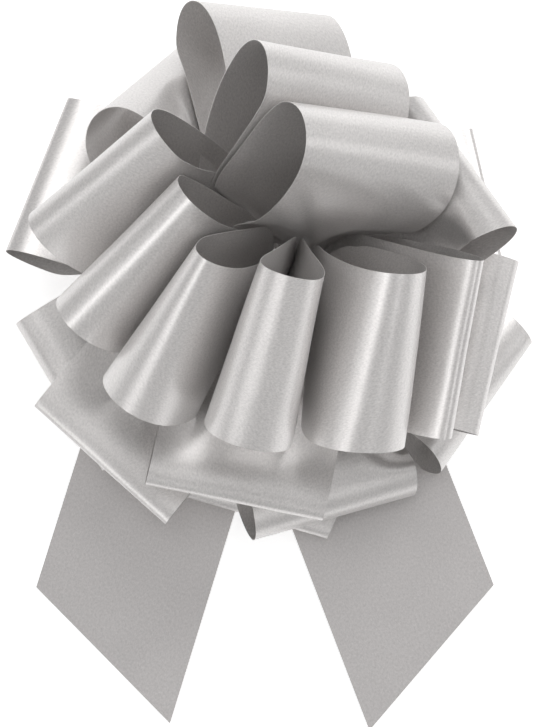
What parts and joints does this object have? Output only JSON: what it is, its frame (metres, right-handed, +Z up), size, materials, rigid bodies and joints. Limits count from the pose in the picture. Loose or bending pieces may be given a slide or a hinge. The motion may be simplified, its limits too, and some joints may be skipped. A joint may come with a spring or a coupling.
{
  "type": "gift bow",
  "caption": "Pull bow of wide satin ribbon: loops gathered on two narrow strings, with two flat tails cut on a slant, ready to tie on a gift.",
  "frame": {"origin": "foot of the pull strings at the back of the bow, on the surface the bow lies on", "axes": "+Z up the strings, away from the gift; -Y towards the two tails; +X to the right as the bow is looked at"},
  "size_m": [0.1997, 0.2744, 0.1434],
  "materials": {
    "satin_ribbon": "satin",
    "string_ribbon": "satin"
  },
  "bodies": {
    "strings": {"pull_string_a": "string_ribbon", "pull_string_b": "string_ribbon", "knot": "string_ribbon"},
    "loop_01_body": {"loop_01": "satin_ribbon"},
    "loop_02_body": {"loop_02": "satin_ribbon"},
    "loop_03_body": {"loop_03": "satin_ribbon"},
    "loop_04_body": {"loop_04": "satin_ribbon"},
    "loop_05_body": {"loop_05": "satin_ribbon"},
    "loop_06_body": {"loop_06": "satin_ribbon"},
    "loop_07_body": {"loop_07": "satin_ribbon"},
    "loop_08_body": {"loop_08": "satin_ribbon"},
    "loop_09_body": {"loop_09": "satin_ribbon"},
    "loop_10_body": {"loop_10": "satin_ribbon"},
    "loop_11_body": {"loop_11": "satin_ribbon"},
    "loop_12_body": {"loop_12": "satin_ribbon"},
    "loop_13_body": {"loop_13": "satin_ribbon"},
    "loop_14_body": {"loop_14": "satin_ribbon"},
    "loop_15_body": {"loop_15": "satin_ribbon"},
    "loop_16_body": {"loop_16": "satin_ribbon"},
    "loop_17_body": {"loop_17": "satin_ribbon"},
    "loop_18_body": {"loop_18": "satin_ribbon"},
    "loop_19_body": {"loop_19": "satin_ribbon"},
    "loop_20_body": {"loop_20": "satin_ribbon"},
    "tail_left_body": {"tail_left": "satin_ribbon"},
    "tail_right_body": {"tail_right": "satin_ribbon"}
  },
  "joints": [
    {"name": "loop_01_swivel", "type": "hinge", "parent": "strings", "child": "loop_01_body", "pos_m": [0.00084, 0, 0.0065], "axis": [0, 0, 1], "range_deg": [-1, 1], "stiffness_Nm_per_rad": 0.002},
    {"name": "loop_02_swivel", "type": "hinge", "parent": "strings", "child": "loop_02_body", "pos_m": [0.00114, 0, 0.0088], "axis": [0, 0, 1], "range_deg": [-1, 1], "stiffness_Nm_per_rad": 0.002},
    {"name": "loop_03_swivel", "type": "hinge", "parent": "strings", "child": "loop_03_body", "pos_m": [0.00144, 0, 0.0111], "axis": [0, 0, 1], "range_deg": [0, 1], "stiffness_Nm_per_rad": 0.002},
    {"name": "loop_04_swivel", "type": "hinge", "parent": "strings", "child": "loop_04_body", "pos_m": [0.00174, 0, 0.0134], "axis": [0, 0, 1], "range_deg": [-1, 1], "stiffness_Nm_per_rad": 0.002},
    {"name": "loop_05_swivel", "type": "hinge", "parent": "strings", "child": "loop_05_body", "pos_m": [0.00204, 0, 0.0157], "axis": [0, 0, 1], "range_deg": [-1, 1], "stiffness_Nm_per_rad": 0.002},
    {"name": "loop_06_swivel", "type": "hinge", "parent": "strings", "child": "loop_06_body", "pos_m": [0.00234, 0, 0.018], "axis": [0, 0, 1], "range_deg": [-1, 1], "stiffness_Nm_per_rad": 0.002},
    {"name": "loop_07_swivel", "type": "hinge", "parent": "strings", "child": "loop_07_body", "pos_m": [0.00264, 0, 0.0203], "axis": [0, 0, 1], "range_deg": [-1, 1], "stiffness_Nm_per_rad": 0.002},
    {"name": "loop_08_swivel", "type": "hinge", "parent": "strings", "child": "loop_08_body", "pos_m": [0.00294, 0, 0.0226], "axis": [0, 0, 1], "range_deg": [-1, 2], "stiffness_Nm_per_rad": 0.002},
    {"name": "loop_09_swivel", "type": "hinge", "parent": "strings", "child": "loop_09_body", "pos_m": [0.00324, 0, 0.0249], "axis": [0, 0, 1], "range_deg": [-1, 0], "stiffness_Nm_per_rad": 0.002},
    {"name": "loop_10_swivel", "type": "hinge", "parent": "strings", "child": "loop_10_body", "pos_m": [0.00354, 0, 0.0272], "axis": [0, 0, 1], "range_deg": [-1, 1], "stiffness_Nm_per_rad": 0.002},
    {"name": "loop_11_swivel", "type": "hinge", "parent": "strings", "child": "loop_11_body", "pos_m": [0.00383, 0, 0.0295], "axis": [0, 0, 1], "range_deg": [-1, 0], "stiffness_Nm_per_rad": 0.002},
    {"name": "loop_12_swivel", "type": "hinge", "parent": "strings", "child": "loop_12_body", "pos_m": [0.00413, 0, 0.0318], "axis": [0, 0, 1], "range_deg": [-1, 1], "stiffness_Nm_per_rad": 0.002},
    {"name": "loop_13_swivel", "type": "hinge", "parent": "strings", "child": "loop_13_body", "pos_m": [0.00443, 0, 0.0341], "axis": [0, 0, 1], "range_deg": [0, 1], "stiffness_Nm_per_rad": 0.002},
    {"name": "loop_14_swivel", "type": "hinge", "parent": "strings", "child": "loop_14_body", "pos_m": [0.00473, 0, 0.0364], "axis": [0, 0, 1], "range_deg": [0, 1], "stiffness_Nm_per_rad": 0.002},
    {"name": "loop_15_swivel", "type": "hinge", "parent": "strings", "child": "loop_15_body", "pos_m": [0.00503, 0, 0.0387], "axis": [0, 0, 1], "range_deg": [-1, 0], "stiffness_Nm_per_rad": 0.002},
    {"name": "loop_16_swivel", "type": "hinge", "parent": "strings", "child": "loop_16_body", "pos_m": [0.00533, 0, 0.041], "axis": [0, 0, 1], "range_deg": [-1, 1], "stiffness_Nm_per_rad": 0.002},
    {"name": "loop_17_swivel", "type": "hinge", "parent": "strings", "child": "loop_17_body", "pos_m": [0.00563, 0, 0.0433], "axis": [0, 0, 1], "range_deg": [-1, 1], "stiffness_Nm_per_rad": 0.002},
    {"name": "loop_18_swivel", "type": "hinge", "parent": "strings", "child": "loop_18_body", "pos_m": [0.00593, 0, 0.0456], "axis": [0, 0, 1], "range_deg": [-1, 1], "stiffness_Nm_per_rad": 0.002},
    {"name": "loop_19_swivel", "type": "hinge", "parent": "strings", "child": "loop_19_body", "pos_m": [0.00623, 0, 0.0479], "axis": [0, 0, 1], "range_deg": [-2, 1], "stiffness_Nm_per_rad": 0.002},
    {"name": "loop_20_swivel", "type": "hinge", "parent": "strings", "child": "loop_20_body", "pos_m": [0.00653, 0, 0.0502], "axis": [0, 0, 1], "range_deg": [-2, 2], "stiffness_Nm_per_rad": 0.002},
    {"name": "tail_left_swing", "type": "hinge", "parent": "strings", "child": "tail_left_body", "pos_m": [0.00035, 0, 0.0027], "axis": [0, 0, 1], "range_deg": [-10, 10]},
    {"name": "tail_right_swing", "type": "hinge", "parent": "strings", "child": "tail_right_body", "pos_m": [0.00056, 0, 0.0043], "axis": [0, 0, 1], "range_deg": [-10, 10]}
  ]
}
